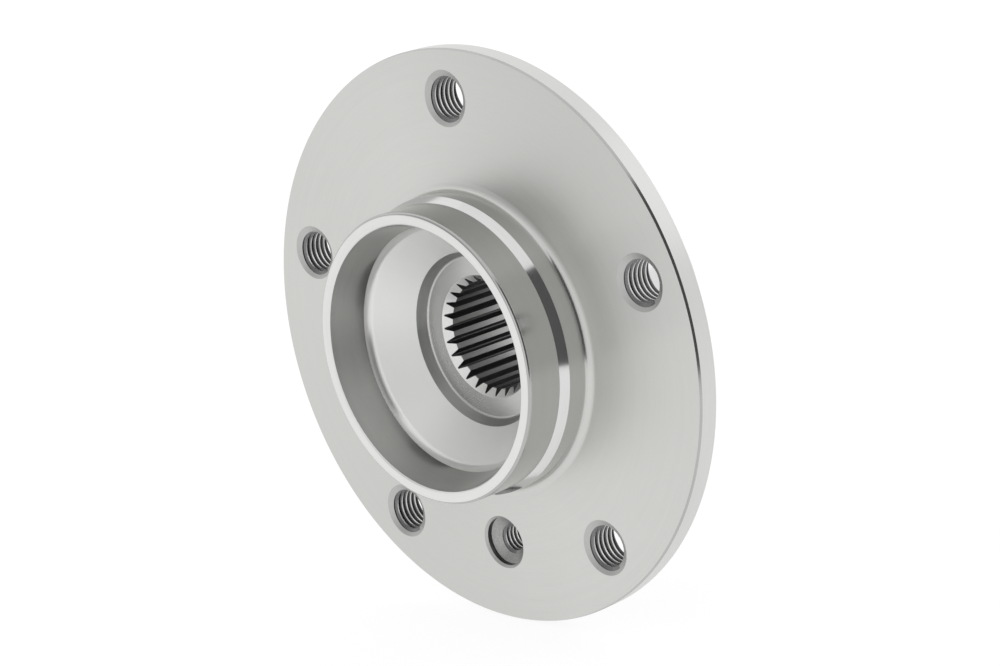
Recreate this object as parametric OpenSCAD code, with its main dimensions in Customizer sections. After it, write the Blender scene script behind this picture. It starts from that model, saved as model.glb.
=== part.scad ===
// Driven wheel hub for a five-bolt road wheel: a turned forging with a splined
// bore, pressed into a sealed double-row angular-contact ball bearing.
// Millimetres. The axis lies along Y, the wheel side faces -Y and +Z is up.
// The origin is the centre of the wheel face.

/* [Flange] */
// Diameter of the flange
flange_d = 144.4; // [141:0.2:152]
// Thickness of the flange, from the wheel face to its back
flange_t = 9; // [8:0.1:9.5]
// Length of the cylindrical edge of the flange
flange_edge_l = 5.4; // [4:0.1:6.5]
// Radial width of the bevel behind the edge
flange_bevel = 4.8; // [3:0.1:6]
// Chamfer between the wheel face and the edge
flange_chamfer = 0.5; // [0.3:0.1:1]

/* [Wheel bolt holes] */
// Number of wheel bolts
bolt_count = 5; // [4:1:6]
// Distance from the wheel bolt circle to the edge of the flange
bolt_edge = 12.2; // [11:0.1:15]
// Thread diameter of the wheel bolts
bolt_d = 12; // [10:0.5:14]
// Lead-in chamfer of the bolt holes
bolt_chamfer = 1; // [0.5:0.1:1.5]

/* [Disc screw hole] */
// Distance from the wheel bolt circle in to the centre of the disc screw
screw_inset = 7.9; // [5:0.1:11]
// Thread diameter of the disc screw
screw_d = 8; // [6:0.5:9]
// Diameter of the counterbore for the screw's head
screw_head_d = 12.4; // [11:0.1:14]
// Depth of the straight part of the counterbore
screw_head_l = 1.9; // [0.8:0.1:2.4]
// Point angle of the drill that leaves the counterbore's conical floor, in degrees
screw_drill_point = 118; // [90:1:135]
// Chamfer at the mouth of the counterbore
screw_chamfer = 0.6; // [0.2:0.1:0.8]

/* [Spigots] */
// Diameter of the spigot that centres the wheel
wheel_spigot_d = 72.5; // [70:0.1:74]
// Diameter of the spigot that centres the brake disc
disc_spigot_d = 75; // [74.5:0.1:79]
// Projection of the wheel spigot from the wheel face
spigot_l = 18.7; // [16:0.1:24]
// Projection of the disc spigot from the wheel face
disc_spigot_l = 6.5; // [5:0.1:9]
// Lead-in chamfer of the wheel spigot
spigot_chamfer = 0.5; // [0.3:0.1:1.5]
// Slope of the lead-in cone from the wheel spigot up to the disc spigot, in degrees
disc_lead_angle = 30; // [25:1:45]
// Fillet between the disc spigot and the wheel face
disc_root_r = 2.2; // [1:0.1:3]

/* [Cup] */
// Inner diameter of the cup at its mouth
cup_mouth_d = 66.4; // [63:0.1:67.5]
// Draft of the cup's wall, in degrees
cup_draft = 14; // [8:0.5:16]
// Length of the cup's wall, from the mouth to the cone of the floor
cup_wall_l = 10.7; // [9:0.1:12]
// Slope of the cup's conical floor against the axis, in degrees
cup_cone_angle = 45; // [40:1:50]
// Fillet between the wall and the cone
cup_fillet = 4.5; // [2:0.1:6]
// Chamfer at the mouth of the cup
cup_lip = 0.3; // [0.2:0.1:0.6]

/* [Axle nut seat] */
// Diameter of the flat seat for the axle nut
nut_seat_d = 41.2; // [38:0.2:42]
// Depth of the seat behind the wheel face
nut_seat_y = 3.2; // [2.5:0.1:4]
// Slope of the seat's wall against the axis, in degrees
nut_seat_draft = 28; // [15:1:35]
// Fillet around the flat seat
nut_seat_fillet = 0.6; // [0.3:0.1:0.8]

/* [Splined bore] */
// Number of spline teeth
spline_teeth = 27; // [24:1:30]
// Diameter over the tips of the hub's teeth
spline_minor_d = 27.4; // [26:0.1:28]
// Diameter at the roots of the grooves
spline_major_d = 30.5; // [29.6:0.1:31]
// Width of a groove at the tips of the teeth
groove_mouth_w = 1.8; // [1.5:0.05:1.9]
// Width of a groove at its root
groove_root_w = 0.4; // [0.2:0.05:1.2]
// Diameter of the chamfer at both ends of the bore
spline_mouth_d = 31.2; // [31:0.1:33]
// Angle by which the first groove is turned from the X axis, in degrees
spline_clock = 3.9; // [0:0.1:13]

/* [Journal] */
// Distance from the wheel face to the shoulder that the bearing seats on
shoulder_y = 9.6; // [9.3:0.1:11]
// Diameter of the shoulder
shoulder_d = 49; // [47:0.1:49.6]
// Fillet between the shoulder and the journal
journal_root_r = 2; // [1:0.1:2.4]
// Lead-in chamfer of the journal
journal_chamfer = 1.5; // [0.8:0.1:2]
// Length by which the bearing stands past the end of the journal
journal_setback = 1.6; // [1:0.1:3]
// Depth of the turned relief in the back of the flange
relief_depth = 1.2; // [0.5:0.1:2]
// Radial width of that relief
relief_w = 15; // [10:0.5:18]
// Distance from the shoulder out to that relief
relief_gap = 5; // [3:0.1:6]

/* [Bearing] */
// Bore of the bearing, and diameter of the journal
bearing_bore = 40; // [38:0.1:41]
// Outer diameter of the bearing
bearing_od = 72; // [71:0.1:75]
// Width across the two inner rings
inner_ring_w = 36; // [35:0.1:40]
// Width of the outer ring
outer_ring_w = 33; // [32.8:0.1:34.6]
// Diameter of the balls
ball_d = 10.8; // [10:0.1:11.1]
// Number of balls in each row
balls_per_row = 14; // [12:1:14]
// Distance between the two rows of balls
row_pitch = 15.4; // [15:0.1:15.8]
// Free play between a ball and its races
race_gap = 0.12; // [0.1:0.01:0.2]
// Height of an inner ring's outer shoulder above its bore
inner_shoulder_h = 5.4; // [5:0.1:5.8]
// Height of an inner ring's inner land above its bore
inner_land_h = 3.9; // [3.4:0.1:4.4]
// Thickness of the outer ring at the seals
outer_wall_t = 4.4; // [4:0.1:4.6]
// Thickness of the outer ring between the rows
outer_rib_t = 5.6; // [5:0.1:6]
// Corner chamfer at the bore of the inner rings
ring_bore_chamfer = 2.5; // [2.4:0.1:3]
// Corner chamfer on the outer ring
ring_outer_chamfer = 1.5; // [0.6:0.1:2]
// Corner chamfer on the outer shoulder of the inner rings
ring_edge_chamfer = 0.5; // [0.2:0.1:0.6]

/* [Ball cages] */
// Radial thickness of a cage
cage_t = 3.6; // [3:0.1:4]
// Play between a ball and its pocket
pocket_gap = 0.12; // [0.1:0.01:0.2]
// Thickness of the cage's rib beside the pockets
cage_rib_t = 1.5; // [1.2:0.1:1.7]
// Length by which the cage's fingers reach past the ball centres
finger_reach = 2.6; // [2:0.1:3.2]

/* [Seals] */
// Thickness of the sheet metal of a seal
seal_sheet_t = 0.7; // [0.5:0.05:0.8]
// Length of a seal along the axis
seal_l = 2.8; // [2.5:0.1:3]
// Set-back of a seal from the face of the outer ring
seal_inset = 0.2; // [0.1:0.05:0.4]
// Running clearance between the slinger and the seal
seal_gap = 0.3; // [0.2:0.05:0.4]
// Running clearance at the tips of the rubber lips
lip_gap = 0.12; // [0.1:0.01:0.15]

/* [Hidden] */

$fn = 96;
// Largest turn between two points of a rounded outline, in degrees
arc_step = 5;
// Length by which a cutter reaches past the face that it opens
past = 1;

// Place of the corner between the cup's wall and its cone
cup_wall_end_y = cup_wall_l - spigot_l;

// The holes are laid out from the edge of the flange inwards
bolt_pcd = flange_d - 2 * bolt_edge;
screw_pcd = bolt_pcd - 2 * screw_inset;
// Angles of the wheel bolt holes, the first one at the top
first_bolt_angle = 90;
bolt_step = 360 / bolt_count;
// The disc screw lies midway between two bolts
screw_angle = first_bolt_angle + 2.5 * bolt_step;

journal_r = bearing_bore / 2;
journal_end_y = shoulder_y + inner_ring_w - journal_setback;
shoulder_r = shoulder_d / 2;
bearing_mid_y = shoulder_y + inner_ring_w / 2;
bearing_r = bearing_od / 2;
outer_bore_r = bearing_r - outer_wall_t;
inner_shoulder_r = journal_r + inner_shoulder_h;
inner_land_r = journal_r + inner_land_h;
// The balls run midway between the journal and the housing
ball_pitch_r = (journal_r + bearing_r) / 2;
ball_r = ball_d / 2;
// The faces of the rings, measured from the middle of the bearing
inner_face = inner_ring_w / 2;
outer_face = outer_ring_w / 2;
// Inner and outer edge of the relief in the back of the flange
relief_in_r = shoulder_r + relief_gap;
relief_out_r = relief_in_r + relief_w;

module steel() { color([0.78, 0.78, 0.77]) children(); }
module ground_steel() { color([0.70, 0.71, 0.73]) children(); }
module ball_steel() { color([0.86, 0.87, 0.89]) children(); }
module sheet_steel() { color([0.62, 0.63, 0.65]) children(); }
module cage_plastic() { color([0.16, 0.17, 0.15]) children(); }
module seal_rubber() { color([0.08, 0.08, 0.08]) children(); }

function unit(v) = v / norm(v);

// Points of the arc that rounds the corner q between p and s
function corner(p, q, s, radius) =
    radius == 0 ? [q] :
    let (
        to_p = unit(p - q),
        to_s = unit(s - q),
        half = acos(to_p * to_s) / 2,
        centre = q + unit(to_p + to_s) * radius / sin(half),
        first = q + to_p * radius / tan(half) - centre,
        last = q + to_s * radius / tan(half) - centre,
        start = atan2(first.y, first.x),
        turn = (atan2(last.y, last.x) - start + 540) % 360 - 180,
        steps = ceil(abs(turn) / arc_step)
    )
    [for (i = [0 : steps]) centre + radius * [cos(start + turn * i / steps), sin(start + turn * i / steps)]];

// Outline through points [radius, axial place, corner radius]
function rounded(points) =
    let (n = len(points), flat = [for (p = points) [p.x, p.y]])
    [for (i = [0 : n - 1]) each corner(flat[(i + n - 1) % n], flat[i], flat[(i + 1) % n], points[i].z)];

// Turns an outline of [radius, axial place, corner radius] about the Y axis
module turned(points) {
    rotate([-90, 0, 0]) rotate_extrude() polygon(rounded(points));
}

// Puts children at an angle and radius, with their Z axis along the hub's axis
module on_face(angle, radius, y = 0) {
    translate([radius * cos(angle), y, radius * sin(angle)]) rotate([-90, 0, 0]) children();
}

// Mirrors a piece of the outboard half of the bearing to the inboard half
module bearing_half(side) {
    translate([0, bearing_mid_y, 0]) mirror([0, side == "inboard" ? 1 : 0, 0]) children();
}

// The turned blank, before the cup, the bore and the holes
module hub_blank() {
    flange_r = flange_d / 2;
    wheel_r = wheel_spigot_d / 2;
    disc_r = disc_spigot_d / 2;
    disc_lead_l = (disc_r - wheel_r) / tan(disc_lead_angle);
    turned([
        [0, -spigot_l, 0],
        [wheel_r - spigot_chamfer, -spigot_l, 0],
        [wheel_r, spigot_chamfer - spigot_l, 0],
        [wheel_r, -disc_spigot_l - disc_lead_l, 0],
        [disc_r, -disc_spigot_l, 0],
        [disc_r, 0, disc_root_r],
        [flange_r - flange_chamfer, 0, 0],
        [flange_r, flange_chamfer, 0],
        [flange_r, flange_edge_l, 0],
        [flange_r - flange_bevel, flange_t, 0],
        [relief_out_r, flange_t, 0],
        [relief_out_r - relief_depth, flange_t - relief_depth, 0],
        [relief_in_r + relief_depth, flange_t - relief_depth, 0],
        [relief_in_r, flange_t, 0],
        [shoulder_r + shoulder_y - flange_t, flange_t, 0],
        [shoulder_r, shoulder_y, 0],
        [journal_r, shoulder_y, journal_root_r],
        [journal_r, journal_end_y - journal_chamfer, 0],
        [journal_r - journal_chamfer, journal_end_y, 0],
        [0, journal_end_y, 0]
    ]);
}

// The drafted cup, whose conical floor runs down to the depth of the nut seat
module cup_cavity() {
    mouth_r = cup_mouth_d / 2;
    wall_end_r = mouth_r - cup_wall_l * tan(cup_draft);
    cone_l = nut_seat_y - cup_wall_end_y;
    turned([
        [0, -spigot_l - past, 0],
        [mouth_r + cup_lip + past, -spigot_l - past, 0],
        [mouth_r - cup_lip * tan(cup_draft), cup_lip - spigot_l, 0],
        [wall_end_r, cup_wall_end_y, cup_fillet],
        [wall_end_r - cone_l * tan(cup_cone_angle), nut_seat_y, 0],
        [0, nut_seat_y, 0]
    ]);
}

// The sunk seat of the axle nut
module nut_seat() {
    seat_r = nut_seat_d / 2;
    // The slope of the seat's wall is cut up to where the cup's wall ends
    reach = nut_seat_y - cup_wall_end_y;
    turned([
        [0, nut_seat_y - reach, 0],
        [seat_r + reach * tan(nut_seat_draft), nut_seat_y - reach, 0],
        [seat_r, nut_seat_y, nut_seat_fillet],
        [0, nut_seat_y, 0]
    ]);
}

// The bore over the teeth, with a chamfer at both ends
module spline_bore() {
    tip_r = spline_minor_d / 2;
    mouth_r = spline_mouth_d / 2;
    chamfer = mouth_r - tip_r;
    turned([
        [0, nut_seat_y - past, 0],
        [mouth_r + past, nut_seat_y - past, 0],
        [tip_r, nut_seat_y + chamfer, 0],
        [tip_r, journal_end_y - chamfer, 0],
        [mouth_r + past, journal_end_y + past, 0],
        [0, journal_end_y + past, 0]
    ]);
}

// The grooves between the hub's teeth
module spline_grooves() {
    root_r = spline_major_d / 2;
    tip_r = spline_minor_d / 2;
    inside_r = tip_r - past;
    // The flanks run on straight to a point inside the bore
    inside_w = groove_mouth_w + (groove_mouth_w - groove_root_w) * past / (root_r - tip_r);
    for (i = [0 : spline_teeth - 1])
        on_face(0, 0, nut_seat_y - past)
            rotate(-spline_clock - i * 360 / spline_teeth)
                linear_extrude(journal_end_y - nut_seat_y + 2 * past)
                    polygon([
                        [inside_r, -inside_w / 2], [root_r, -groove_root_w / 2],
                        [root_r, groove_root_w / 2], [inside_r, inside_w / 2]
                    ]);
}

module bolt_hole() {
    translate([0, 0, -past]) cylinder(h = flange_t + 2 * past, d = bolt_d);
    translate([0, 0, -past]) cylinder(h = bolt_chamfer + past, r1 = bolt_d / 2 + bolt_chamfer + past, r2 = bolt_d / 2);
}

module screw_hole() {
    head_r = screw_head_d / 2;
    // The conical floor drops to the thread
    seat_l = (head_r - screw_d / 2) / tan(screw_drill_point / 2);
    translate([0, 0, -past]) cylinder(h = flange_t + 2 * past, d = screw_d);
    translate([0, 0, -past]) cylinder(h = screw_head_l + past, r = head_r);
    translate([0, 0, screw_head_l]) cylinder(h = seat_l, r1 = head_r, r2 = screw_d / 2);
    translate([0, 0, -past]) cylinder(h = screw_chamfer + past, r1 = head_r + screw_chamfer + past, r2 = head_r);
}

module hub() {
    steel() difference() {
        hub_blank();
        cup_cavity();
        nut_seat();
        spline_bore();
        spline_grooves();
        for (i = [0 : bolt_count - 1])
            on_face(first_bolt_angle + i * bolt_step, bolt_pcd / 2) bolt_hole();
        on_face(screw_angle, screw_pcd / 2) screw_hole();
    }
}

// The ring-shaped space that a row of balls runs in
module ball_track(row) {
    rotate([-90, 0, 0]) translate([0, 0, row]) rotate_extrude()
        translate([ball_pitch_r, 0]) circle(ball_r + race_gap);
}

module bearing_outer_ring() {
    rib_r = bearing_r - outer_rib_t;
    // The rib between the rows ends where the tracks have cut it away
    rib_l = row_pitch / 2;
    c = ring_outer_chamfer;
    ground_steel() translate([0, bearing_mid_y, 0]) difference() {
        turned([
            [outer_bore_r, -outer_face, 0],
            [bearing_r - c, -outer_face, 0],
            [bearing_r, c - outer_face, 0],
            [bearing_r, outer_face - c, 0],
            [bearing_r - c, outer_face, 0],
            [outer_bore_r, outer_face, 0],
            [outer_bore_r, rib_l, 0],
            [rib_r, rib_l, 0],
            [rib_r, -rib_l, 0],
            [outer_bore_r, -rib_l, 0]
        ]);
        ball_track(-row_pitch / 2);
        ball_track(row_pitch / 2);
    }
}

module inner_ring(side) {
    c = ring_bore_chamfer;
    ground_steel() bearing_half(side) difference() {
        turned([
            [journal_r, c - inner_face, 0],
            [journal_r + c, -inner_face, 0],
            [inner_shoulder_r - ring_edge_chamfer, -inner_face, 0],
            [inner_shoulder_r, ring_edge_chamfer - inner_face, 0],
            [inner_shoulder_r, -row_pitch / 2, 0],
            [inner_land_r, -row_pitch / 2, 0],
            [inner_land_r, 0, 0],
            [journal_r, 0, 0]
        ]);
        ball_track(-row_pitch / 2);
    }
}

// Angle of a ball; the two rows are turned by half a ball against each other
function ball_angle(side, i) = (i - (side == "inboard" ? 0.5 : 1)) * 360 / balls_per_row;

module ball(side, i) {
    row_y = bearing_mid_y + (side == "inboard" ? 1 : -1) * row_pitch / 2;
    ball_steel() on_face(ball_angle(side, i), ball_pitch_r, row_y) sphere(ball_r);
}

// A snap cage: a rib beside the balls, with a finger between each pair
module ball_cage(side) {
    row = -row_pitch / 2;
    pocket_r = ball_r + pocket_gap;
    cage_plastic() bearing_half(side) difference() {
        turned([
            [ball_pitch_r - cage_t / 2, row - finger_reach, 0],
            [ball_pitch_r + cage_t / 2, row - finger_reach, 0],
            [ball_pitch_r + cage_t / 2, row + pocket_r + cage_rib_t, 0],
            [ball_pitch_r - cage_t / 2, row + pocket_r + cage_rib_t, 0]
        ]);
        for (i = [1 : balls_per_row])
            on_face(ball_angle(side, i), ball_pitch_r, row) sphere(pocket_r);
    }
}

// The angled ring that is pressed on the inner ring and throws water off
module slinger(side) {
    sleeve_r = inner_shoulder_r + seal_sheet_t;
    rim_r = outer_bore_r - seal_sheet_t - seal_gap;
    near = seal_inset - outer_face;
    sheet_steel() bearing_half(side) turned([
        [inner_shoulder_r, near, 0],
        [rim_r, near, 0],
        [rim_r, near + seal_sheet_t, 0],
        [sleeve_r, near + seal_sheet_t, 0],
        [sleeve_r, near + seal_l - seal_sheet_t - seal_gap, 0],
        [inner_shoulder_r, near + seal_l - seal_sheet_t - seal_gap, 0]
    ]);
}

// The angled ring that is pressed into the outer ring and carries the lips
module seal_case(side) {
    near = seal_inset - outer_face;
    far = near + seal_l;
    sheet_steel() bearing_half(side) turned([
        [outer_bore_r - seal_sheet_t, near, 0],
        [outer_bore_r, near, 0],
        [outer_bore_r, far, 0],
        [inner_shoulder_r + 2 * seal_sheet_t + seal_gap, far, 0],
        [inner_shoulder_r + 2 * seal_sheet_t + seal_gap, far - seal_sheet_t, 0],
        [outer_bore_r - seal_sheet_t, far - seal_sheet_t, 0]
    ]);
}

// The moulded rubber: one lip on the slinger's sleeve, one against its flange
module seal_lip(side) {
    near = seal_inset - outer_face;
    back = near + seal_l - seal_sheet_t;
    flange_side = near + seal_sheet_t + lip_gap;
    sleeve_side = inner_shoulder_r + seal_sheet_t + lip_gap;
    case_edge_r = inner_shoulder_r + 2 * seal_sheet_t + seal_gap;
    seal_rubber() bearing_half(side) turned([
        [case_edge_r, back + seal_sheet_t, 0],
        [sleeve_side + lip_gap, back + seal_sheet_t, 0],
        [sleeve_side, back + seal_gap - seal_sheet_t, 0],
        [sleeve_side + seal_gap, back - seal_sheet_t, 0],
        [case_edge_r + seal_sheet_t, back - seal_gap, 0],
        [case_edge_r + 3 * seal_sheet_t, flange_side, 0],
        [case_edge_r + 4 * seal_sheet_t, flange_side, 0],
        [case_edge_r + 3 * seal_sheet_t, back, 0],
        [case_edge_r, back, 0]
    ]);
}

hub();
bearing_outer_ring();
for (side = ["outboard", "inboard"]) {
    inner_ring(side);
    ball_cage(side);
    slinger(side);
    seal_case(side);
    seal_lip(side);
    for (i = [1 : balls_per_row])
        ball(side, i);
}
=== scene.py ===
import math

import bpy
import bmesh
from mathutils import Matrix, Vector


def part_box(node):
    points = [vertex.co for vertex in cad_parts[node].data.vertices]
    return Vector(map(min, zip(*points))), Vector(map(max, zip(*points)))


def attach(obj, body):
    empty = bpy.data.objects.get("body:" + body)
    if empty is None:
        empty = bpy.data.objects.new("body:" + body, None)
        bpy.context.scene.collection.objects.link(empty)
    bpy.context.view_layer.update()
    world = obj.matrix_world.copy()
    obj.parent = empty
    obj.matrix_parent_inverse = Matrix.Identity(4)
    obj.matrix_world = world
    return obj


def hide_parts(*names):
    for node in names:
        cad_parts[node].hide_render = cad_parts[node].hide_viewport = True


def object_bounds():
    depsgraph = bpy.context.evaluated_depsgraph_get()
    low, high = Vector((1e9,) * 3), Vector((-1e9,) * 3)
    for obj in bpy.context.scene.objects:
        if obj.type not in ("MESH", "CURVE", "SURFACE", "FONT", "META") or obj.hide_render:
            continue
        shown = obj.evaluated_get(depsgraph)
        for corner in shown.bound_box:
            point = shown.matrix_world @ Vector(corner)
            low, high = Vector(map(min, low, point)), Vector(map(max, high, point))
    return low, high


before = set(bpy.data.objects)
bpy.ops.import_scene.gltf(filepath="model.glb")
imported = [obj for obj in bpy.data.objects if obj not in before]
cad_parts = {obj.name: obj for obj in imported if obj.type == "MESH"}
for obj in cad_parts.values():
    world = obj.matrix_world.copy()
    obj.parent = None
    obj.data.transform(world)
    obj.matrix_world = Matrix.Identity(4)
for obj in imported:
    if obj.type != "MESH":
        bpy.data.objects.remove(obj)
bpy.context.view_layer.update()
MM = 0.001

# Sizes of the hub in millimetres; radii are from its axis and places lie along it, towards the car
FLANGE_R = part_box("hub")[1].x / MM
FLANGE_T = 9.0
FLANGE_EDGE_L = 5.4
FLANGE_BEVEL = 4.8
FLANGE_CHAMFER = 0.35
WHEEL_SPIGOT_R = 36.25
DISC_SPIGOT_R = 37.5
SPIGOT_L = -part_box("hub")[0].y / MM
DISC_SPIGOT_L = 6.5
SPIGOT_EDGE_R = 0.8
LEAD_ANGLE = math.radians(30)
DISC_ROOT_R = 2.2
CUP_MOUTH_R = 33.2
CUP_DRAFT = math.radians(14)
CUP_WALL_L = 10.7
CUP_CONE = math.radians(45)
CUP_FILLET = 4.5
CUP_LIP = 0.3
CUP_LIP_W = 0.24
NUT_SEAT_R = 20.6
NUT_SEAT_Y = 3.2
NUT_SEAT_DRAFT = math.radians(28)
NUT_SEAT_FILLET = 0.6
BORE_TIP_R = 13.7
BORE_ROOT_R = 15.25
BORE_MOUTH_R = 15.6
SPLINE_TEETH = 27
SPLINE_CLOCK = math.radians(3.9)
GROOVE_MOUTH_W = 1.8
GROOVE_ROOT_W = 0.4
SHOULDER_Y = 9.6
SHOULDER_R = 24.5
RELIEF_IN_R = 29.5
RELIEF_OUT_R = 44.5
RELIEF_DEPTH = 1.2
JOURNAL_R = 20.0
JOURNAL_END_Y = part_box("hub")[1].y / MM
JOURNAL_CHAMFER = 1.5
JOURNAL_ROOT_R = 2.0

# Metric threads: the depth and the width of the root as shares of the pitch, the slope of a flank, and how far
# inside the crest the cutter starts
THREAD_DEPTH = 0.5413
THREAD_ROOT = 1 / 8
THREAD_FLANK = math.radians(30)
THREAD_OVERLAP = 0.12

# Holes in the flange
BOLT_CIRCLE_R = 60.0
BOLT_ANGLES = [math.radians(90 + 72 * i) for i in range(5)]
BOLT_R = 6.0
BOLT_PITCH = 1.5
BOLT_CREST_R = BOLT_R - THREAD_DEPTH * BOLT_PITCH
BOLT_TURNS = 8
BOLT_THREAD_Y = -1.2
BOLT_SINK_R = 7.0
BOLT_SINK_ANGLE = math.radians(60)
SCREW_CIRCLE_R = 52.1
SCREW_ANGLE = math.radians(270)
SCREW_R = 4.0
SCREW_PITCH = 1.25
SCREW_CREST_R = SCREW_R - THREAD_DEPTH * SCREW_PITCH
SCREW_HEAD_R = 6.2
SCREW_HEAD_L = 1.9
SCREW_TURNS = 6
SCREW_THREAD_Y = SCREW_HEAD_L + 1
SCREW_DRILL_ANGLE = math.radians(59)
SCREW_CHAMFER = 0.6

# Bearing
BEARING_MID_Y = 27.6
BEARING_R = 36.0
OUTER_BORE_R = 31.6
OUTER_RIB_R = 30.4
OUTER_FACE = 16.5
OUTER_CHAMFER = 1.5
INNER_FACE = 18.0
INNER_SHOULDER_R = 25.4
INNER_LAND_R = 23.9
INNER_BORE_CHAMFER = 2.5
INNER_EDGE_CHAMFER = 0.5
ROW_Y = 7.7
PITCH_R = 28.0
TRACK_R = 5.52
SHEET_T = 0.7
SEAL_NEAR = 16.3
SEAL_L = 2.8
SEAL_GAP = 0.3
LIP_GAP = 0.12

# Rounding that the tool leaves on a turned corner
BREAK = 0.12

# Steps of a full turn, for the turned pieces, the drilled holes and the threads, steps along a ball track, and
# the most that a rounded corner turns in one step
TURN_STEPS = 270
HOLE_STEPS = 96
THREAD_STEPS = 60
TRACK_STEPS = 24
CORNER_STEP = math.radians(5)

# How far a cutter reaches past what it cuts, how close two points are one, and how sharp an edge stays an edge
PAST = 1.0
MERGE = 0.002 * MM
SHARP_ANGLE = math.radians(28)


def deselect():
    """Leaves nothing selected."""
    for other in bpy.context.selected_objects:
        other.select_set(False)


def activate(piece):
    """Leaves one piece selected, as the one that the operators act on."""
    deselect()
    piece.select_set(True)
    bpy.context.view_layer.objects.active = piece


def new_piece(name, adder, **settings):
    """Adds a primitive with nothing else selected, and names it."""
    deselect()
    adder(**settings)
    piece = bpy.context.object
    piece.name = name
    piece.data.name = name
    return piece


def rest_in_mesh(piece):
    """Moves the piece's place and turn into its mesh, so that its object sits at the origin."""
    activate(piece)
    bpy.ops.object.transform_apply(location=True, rotation=True, scale=True)


def rounded(points):
    """Outline through corners (radius, place, rounding), with each corner turned into an arc."""
    outline = []
    count = len(points)
    for i, (r, y, rounding) in enumerate(points):
        corner = Vector((r, y))
        if rounding == 0:
            outline.append(corner)
            continue
        to_last = (Vector(points[i - 1][:2]) - corner).normalized()
        to_next = (Vector(points[(i + 1) % count][:2]) - corner).normalized()
        half = to_last.angle(to_next) / 2
        centre = corner + (to_last + to_next).normalized() * rounding / math.sin(half)
        first = corner + to_last * rounding / math.tan(half) - centre
        last = corner + to_next * rounding / math.tan(half) - centre
        turn = first.angle_signed(last)
        steps = max(2, math.ceil(abs(turn) / CORNER_STEP))
        for k in range(steps + 1):
            outline.append(centre + Matrix.Rotation(-turn * k / steps, 2) @ first)
    return outline


def turned(name, outline, steps=TURN_STEPS, mid_y=0.0, flip=1):
    """Draws a closed outline of (radius, place) point by point, and spins it once round the axis.

    The places count from mid_y, towards the car where flip is 1 and towards the wheel where it is -1.
    """
    start = (outline[0][0], mid_y + flip * outline[0][1])
    piece = new_piece(name, bpy.ops.mesh.primitive_plane_add, size=MM,
                      location=(start[0] * MM, start[1] * MM, 0))
    rest_in_mesh(piece)
    bpy.ops.object.mode_set(mode="EDIT")
    bpy.ops.mesh.merge(type="CENTER")
    for last, point in zip(outline, list(outline[1:]) + [outline[0]]):
        step = ((point[0] - last[0]) * MM, flip * (point[1] - last[1]) * MM, 0)
        bpy.ops.mesh.extrude_vertices_move(TRANSFORM_OT_translate={"value": step})
    bpy.ops.mesh.select_all(action="SELECT")
    bpy.ops.mesh.remove_doubles(threshold=MERGE)
    bpy.ops.mesh.spin(steps=steps, angle=2 * math.pi, center=(0, 0, 0), axis=(0, 1, 0))
    bpy.ops.mesh.select_all(action="SELECT")
    bpy.ops.mesh.remove_doubles(threshold=MERGE)
    bpy.ops.mesh.normals_make_consistent(inside=False)
    bpy.ops.object.mode_set(mode="OBJECT")
    return piece


def join(pieces, name):
    """Joins pieces into one that keeps the name given."""
    activate(pieces[0])
    for piece in pieces:
        piece.select_set(True)
    bpy.ops.object.join()
    pieces[0].name = name
    return pieces[0]


def cut(piece, cutter):
    """Takes the cutter out of the piece and throws the cutter away."""
    activate(piece)
    modifier = piece.modifiers.new("cut", "BOOLEAN")
    modifier.operation = "DIFFERENCE"
    modifier.solver = "MANIFOLD"
    modifier.object = cutter
    bpy.ops.object.modifier_apply(modifier=modifier.name)
    bpy.data.objects.remove(cutter)


def copies_on_circle(tool, angles, radius):
    """Puts a copy of a tool, each with its own mesh, at every angle of a circle in the flange."""
    placed = []
    for angle in angles:
        copy = tool.copy()
        copy.data = tool.data.copy()
        bpy.context.scene.collection.objects.link(copy)
        offset = Vector((radius * math.cos(angle), 0, radius * math.sin(angle))) * MM
        copy.data.transform(Matrix.Translation(offset))
        placed.append(copy)
    bpy.data.objects.remove(tool)
    return placed


def coil(name, crest_r, root_r, pitch, turns, start_y):
    """A thread's groove as a solid: its section, screwed along the axis and closed at both ends."""
    inside_r = crest_r - THREAD_OVERLAP
    flank = (root_r - inside_r) * math.tan(THREAD_FLANK)
    root_w = pitch * THREAD_ROOT
    section = new_piece(name, bpy.ops.mesh.primitive_plane_add, size=MM)
    bpy.ops.object.mode_set(mode="EDIT")
    shape = bmesh.from_edit_mesh(section.data)
    corners = [(inside_r, -flank - root_w / 2), (root_r, -root_w / 2),
               (root_r, root_w / 2), (inside_r, flank + root_w / 2)]
    order = sorted(shape.verts, key=lambda v: math.atan2(v.co.y, v.co.x))
    for vertex, (r, y) in zip(order, corners):
        vertex.co = Vector((r, start_y + y, 0)) * MM
    bmesh.update_edit_mesh(section.data)
    bpy.ops.mesh.select_all(action="SELECT")
    bpy.ops.mesh.delete(type="ONLY_FACE")
    bpy.ops.object.mode_set(mode="OBJECT")
    modifier = section.modifiers.new("thread", "SCREW")
    modifier.axis = "Y"
    modifier.steps = THREAD_STEPS
    modifier.render_steps = THREAD_STEPS
    modifier.iterations = turns
    modifier.screw_offset = pitch * MM
    modifier.use_merge_vertices = False
    bpy.ops.object.modifier_apply(modifier=modifier.name)
    bpy.ops.object.mode_set(mode="EDIT")
    bpy.ops.mesh.select_all(action="SELECT")
    bpy.ops.mesh.fill_holes(sides=0)
    bpy.ops.mesh.select_all(action="SELECT")
    bpy.ops.mesh.normals_make_consistent(inside=False)
    bpy.ops.object.mode_set(mode="OBJECT")
    return section


def smooth(piece):
    """Smooth shading that keeps every sharp edge."""
    activate(piece)
    bpy.ops.object.shade_smooth_by_angle(angle=SHARP_ANGLE)
    modifier = piece.modifiers.new("flat faces stay flat", "WEIGHTED_NORMAL")
    modifier.keep_sharp = True
    bpy.ops.object.modifier_apply(modifier=modifier.name)


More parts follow.
